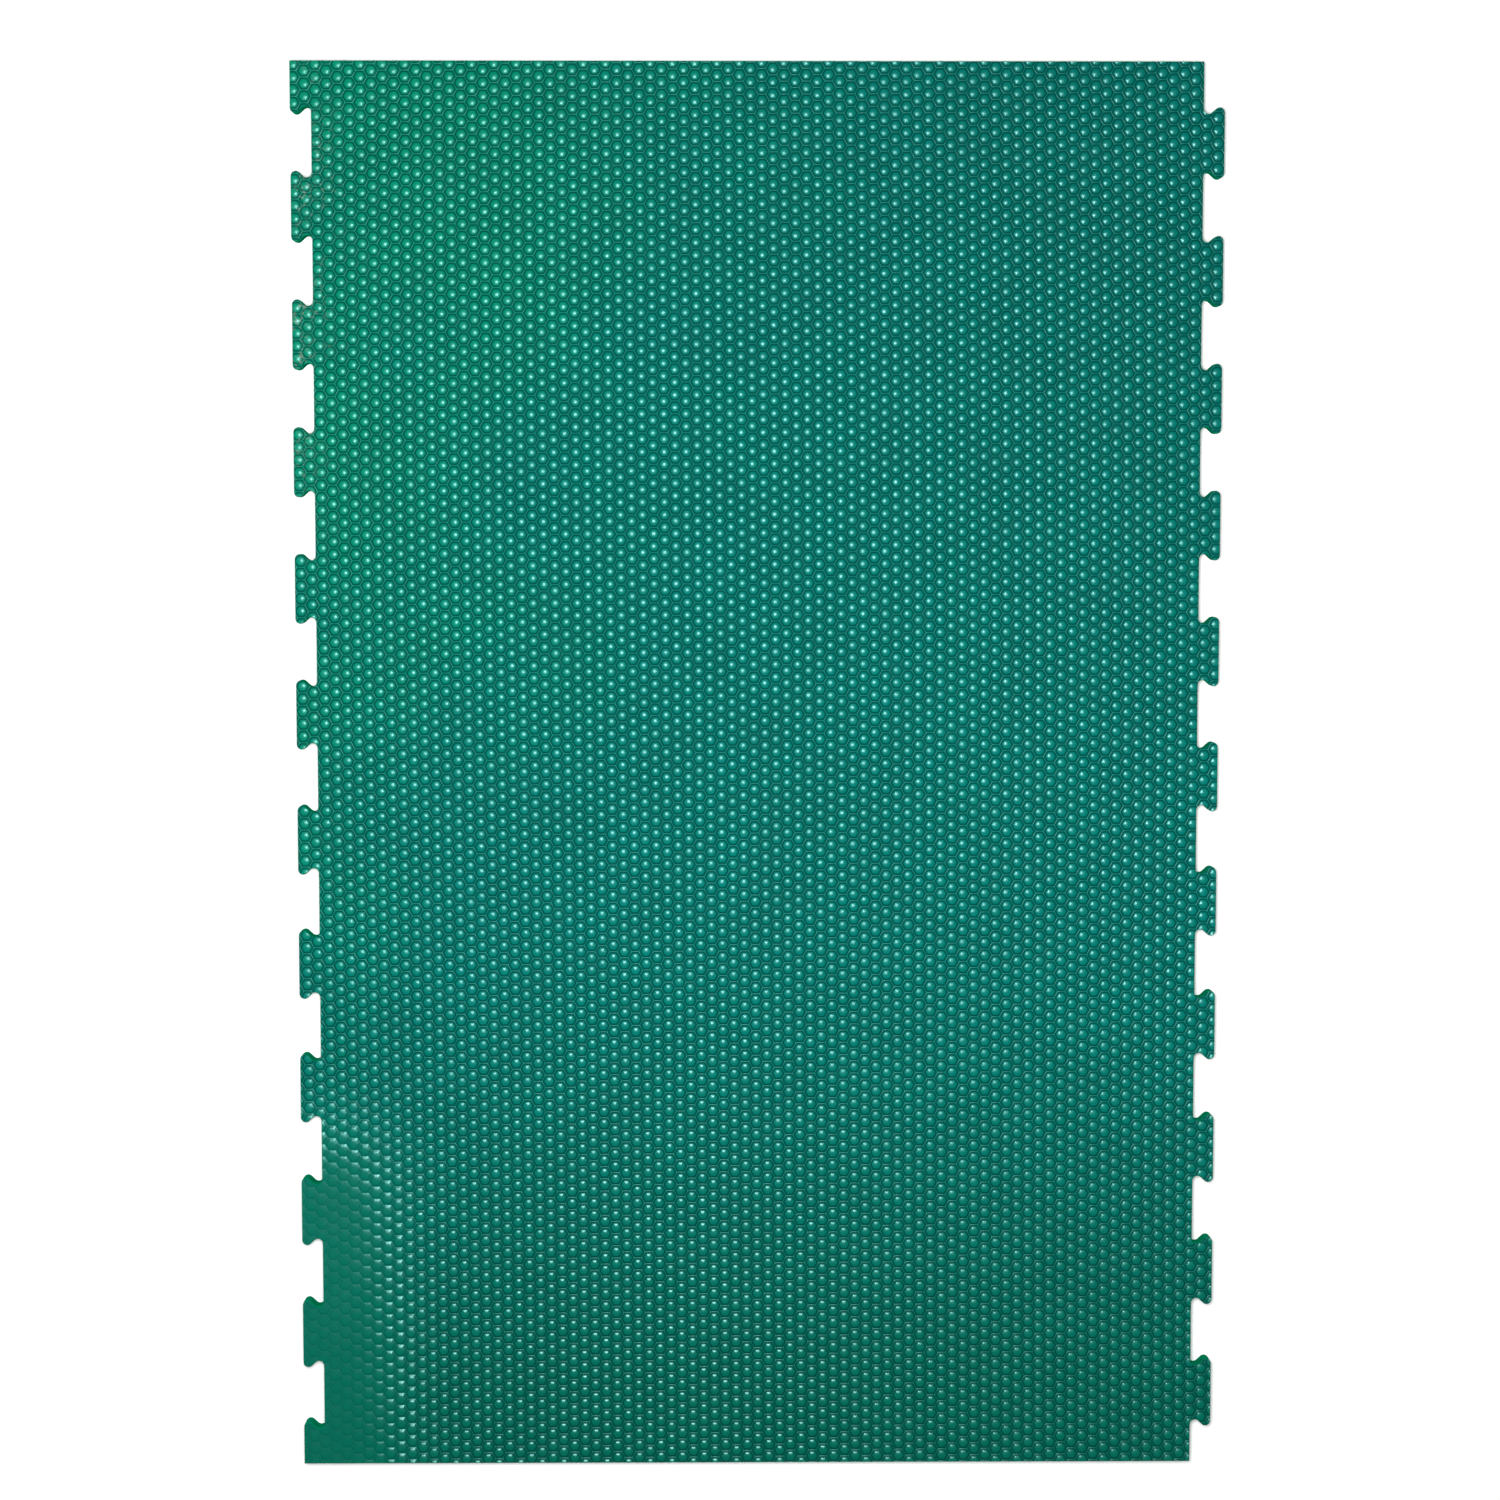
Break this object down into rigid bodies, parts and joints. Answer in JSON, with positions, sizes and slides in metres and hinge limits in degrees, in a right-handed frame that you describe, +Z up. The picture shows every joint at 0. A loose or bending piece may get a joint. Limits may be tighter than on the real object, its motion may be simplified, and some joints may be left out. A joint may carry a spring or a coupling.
{
  "type": "stall mat",
  "caption": "Thick rectangular EVA foam stall floor mat with a hexagon-domed top, square-cut ends and jigsaw tabs along both long sides that key into the mats beside it.",
  "frame": {"origin": "on the floor, under the middle of the mat's bounding box", "axes": "+X across the mat towards the side whose tabs are all whole, +Y along the mat, +Z up out of the domed top"},
  "size_m": [1.198, 1.83, 0.024],
  "materials": {
    "eva_foam": "satin closed-cell foam, moulded on top in small domes"
  },
  "bodies": {
    "root": {"stall_mat": "eva_foam"}
  },
  "joints": []
}
